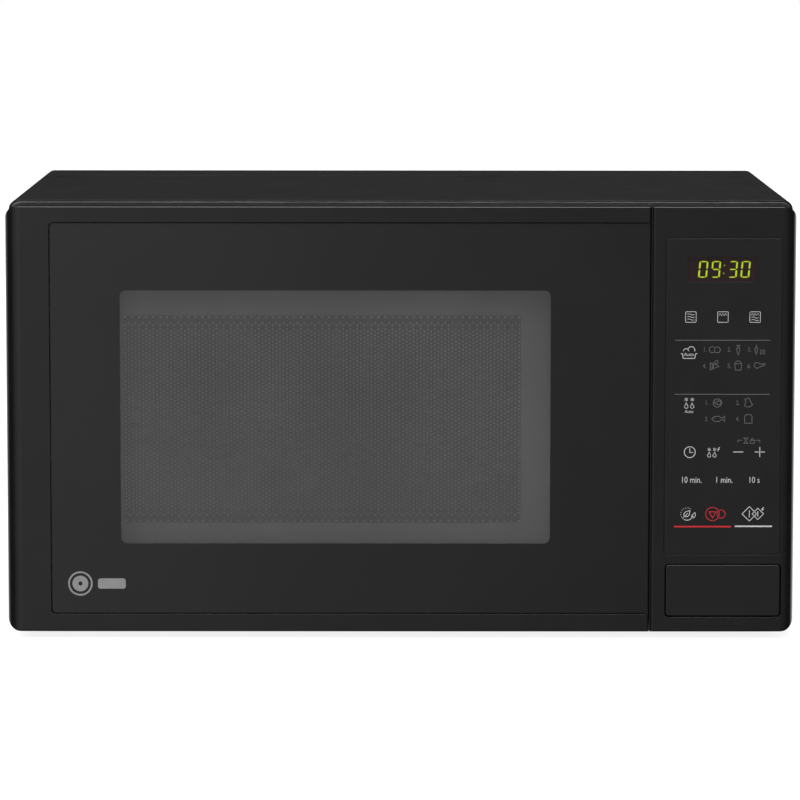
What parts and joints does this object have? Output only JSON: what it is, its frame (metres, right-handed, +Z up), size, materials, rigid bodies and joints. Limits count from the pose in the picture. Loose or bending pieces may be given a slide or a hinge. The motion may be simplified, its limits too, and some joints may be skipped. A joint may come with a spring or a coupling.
{
  "type": "microwave oven",
  "caption": "Countertop microwave oven with a side-hinged windowed door, membrane keypad, wide door button, turntable and grill, built as separate working pieces.",
  "frame": {"origin": "on the surface the oven stands on, under the middle of its outer box", "axes": "+X to the right facing the door, +Y towards the back, +Z up"},
  "size_m": [0.455, 0.32, 0.252],
  "materials": {
    "cabinet_paint": "semi-gloss powder coat",
    "zinc_plate": "galvanised",
    "enamel": "light grey enamel",
    "rubber": "matt",
    "spacer_plastic": "matt",
    "screw_steel": "zinc plated",
    "mica": "flaky matt",
    "reflector": "folded sheet",
    "quartz": "frosted tube",
    "shaft_steel": "ground",
    "coupler_plastic": "moulded",
    "tray_glass": "clear pressed glass",
    "ring_plastic": "moulded",
    "bezel_plastic": "piano black",
    "front_panel": "polished sheet",
    "smoked_window": "smoked clear",
    "screen_steel": "perforated, satin",
    "choke_steel": "light grey enamel",
    "choke_plastic": "fine texture",
    "clear_film": "clear film",
    "natural_plastic": "natural acetal",
    "spring_steel": "drawn wire",
    "keypad_print": "printed film, satin",
    "display_glass": "tinted",
    "display_case": "matt",
    "circuit_board": "solder mask",
    "component_plastic": "moulded",
    "button_plastic": "piano black",
    "board_plastic": "moulded",
    "plunger_plastic": "moulded",
    "fin_aluminium": "pressed fins",
    "antenna_metal": "drawn cap",
    "core_steel": "varnished laminations",
    "winding": "enamelled copper wire",
    "can_aluminium": "drawn can",
    "fan_plastic": "moulded",
    "motor_steel": "laminated",
    "bulb_glass": "clear",
    "socket_steel": "plated"
  },
  "bodies": {
    "root": {"outer_cabinet": "cabinet_paint", "base_plate": "zinc_plate", "rear_panel": "zinc_plate", "hinge_brackets": "zinc_plate", "waveguide": "zinc_plate", "magnetron_yoke": "zinc_plate", "turntable_motor": "zinc_plate", "front_frame": "enamel", "oven_cavity": "enamel", "feet": "rubber", "cord_bush": "rubber", "rear_spacers": "spacer_plastic", "cabinet_screws": "screw_steel", "waveguide_cover": "mica", "grill_reflector": "reflector", "grill_heaters": "quartz", "hinge_pins": "shaft_steel", "lever_pin": "shaft_steel", "control_housing": "bezel_plastic", "button_spring": "spring_steel", "keypad_membrane": "keypad_print", "display_lens": "display_glass", "display_module": "display_case", "control_board": "circuit_board", "board_components": "component_plastic", "interlock_switches": "component_plastic", "hv_diode": "component_plastic", "latch_board": "board_plastic", "magnetron_fins": "fin_aluminium", "magnetron_antenna": "antenna_metal", "transformer_core": "core_steel", "transformer_coils": "winding", "hv_capacitor": "can_aluminium", "fan_shroud": "fan_plastic", "fan_motor": "motor_steel", "oven_lamp": "bulb_glass", "lamp_socket": "socket_steel"},
    "door": {"door_bezel": "bezel_plastic", "door_front_panel": "front_panel", "door_window": "smoked_window", "door_screen": "screen_steel", "door_choke_frame": "choke_steel", "choke_cover": "choke_plastic", "door_inner_film": "clear_film", "hinge_bushes": "natural_plastic", "latch_spring": "spring_steel"},
    "latch": {"latch_hooks": "natural_plastic"},
    "button": {"door_button": "button_plastic"},
    "lever": {"release_lever": "natural_plastic"},
    "primary_plunger": {"primary_plunger": "plunger_plastic"},
    "secondary_plunger": {"secondary_plunger": "plunger_plastic"},
    "monitor_plunger": {"monitor_plunger": "plunger_plastic"},
    "turntable_drive": {"motor_shaft": "shaft_steel", "turntable_coupler": "coupler_plastic"},
    "tray": {"glass_tray": "tray_glass"},
    "ring": {"roller_ring": "ring_plastic"},
    "roller_1": {"roller_1": "ring_plastic"},
    "roller_2": {"roller_2": "ring_plastic"},
    "roller_3": {"roller_3": "ring_plastic"},
    "fan": {"fan_blade": "fan_plastic"}
  },
  "joints": [
    {"name": "door_swing", "type": "hinge", "parent": "root", "child": "door", "pos_m": [-0.218, -0.142, 0.1275], "axis": [0, 0, -1], "range_deg": [0, 100]},
    {"name": "latch_lift", "type": "slide", "parent": "door", "child": "latch", "axis": [0, 0, 1], "range_m": [0, 0.004], "stiffness_N_per_m": 150, "springref_m": -0.005, "deforming": ["latch_spring"]},
    {"name": "button_press", "type": "slide", "parent": "root", "child": "button", "axis": [0, 1, 0], "range_m": [0, 0.005], "stiffness_N_per_m": 400, "springref_m": -0.005, "deforming": ["button_spring"]},
    {"name": "lever_rock", "type": "hinge", "parent": "root", "child": "lever", "pos_m": [0.146, -0.1205, 0.037], "axis": [1, 0, 0], "range_deg": [0, 19.5]},
    {"name": "primary_plunger_press", "type": "slide", "parent": "root", "child": "primary_plunger", "axis": [0, 1, 0], "range_m": [0, 0.001], "stiffness_N_per_m": 300, "springref_m": -0.002},
    {"name": "secondary_plunger_press", "type": "slide", "parent": "root", "child": "secondary_plunger", "axis": [0, 1, 0], "range_m": [0, 0.001], "stiffness_N_per_m": 300, "springref_m": -0.002},
    {"name": "monitor_plunger_press", "type": "slide", "parent": "root", "child": "monitor_plunger", "axis": [0, 1, 0], "range_m": [0, 0.001], "stiffness_N_per_m": 300, "springref_m": -0.002},
    {"name": "turntable_spin", "type": "hinge", "parent": "root", "child": "turntable_drive", "pos_m": [-0.046, 0.011, 0.03], "axis": [0, 0, 1], "continuous": true},
    {"name": "tray_lift", "type": "slide", "parent": "turntable_drive", "child": "tray", "axis": [0, 0, 1], "range_m": [0, 0.02]},
    {"name": "ring_roll", "type": "hinge", "parent": "root", "child": "ring", "pos_m": [-0.046, 0.011, 0.0353], "axis": [0, 0, 1], "continuous": true},
    {"name": "roller_1_spin", "type": "hinge", "parent": "ring", "child": "roller_1", "pos_m": [0.0414, 0.011, 0.0353], "axis": [1, 0, 0], "continuous": true},
    {"name": "roller_2_spin", "type": "hinge", "parent": "ring", "child": "roller_2", "pos_m": [-0.0897, 0.08669, 0.0353], "axis": [-0.5, 0.866, 0], "continuous": true},
    {"name": "roller_3_spin", "type": "hinge", "parent": "ring", "child": "roller_3", "pos_m": [-0.0897, -0.06469, 0.0353], "axis": [-0.5, -0.866, 0], "continuous": true},
    {"name": "fan_spin", "type": "hinge", "parent": "root", "child": "fan", "pos_m": [0.17, 0.1375, 0.15], "axis": [0, 1, 0], "continuous": true}
  ],
  "couplings": [
    {"joint": "lever_rock", "follows": "button_press", "rad_per_m": 68},
    {"joint": "latch_lift", "follows": "button_press", "ratio": 0.8},
    {"joint": "ring_roll", "follows": "turntable_spin", "ratio": 0.5},
    {"joint": "roller_1_spin", "follows": "turntable_spin", "ratio": -6.2429},
    {"joint": "roller_2_spin", "follows": "turntable_spin", "ratio": -6.2429},
    {"joint": "roller_3_spin", "follows": "turntable_spin", "ratio": -6.2429}
  ]
}
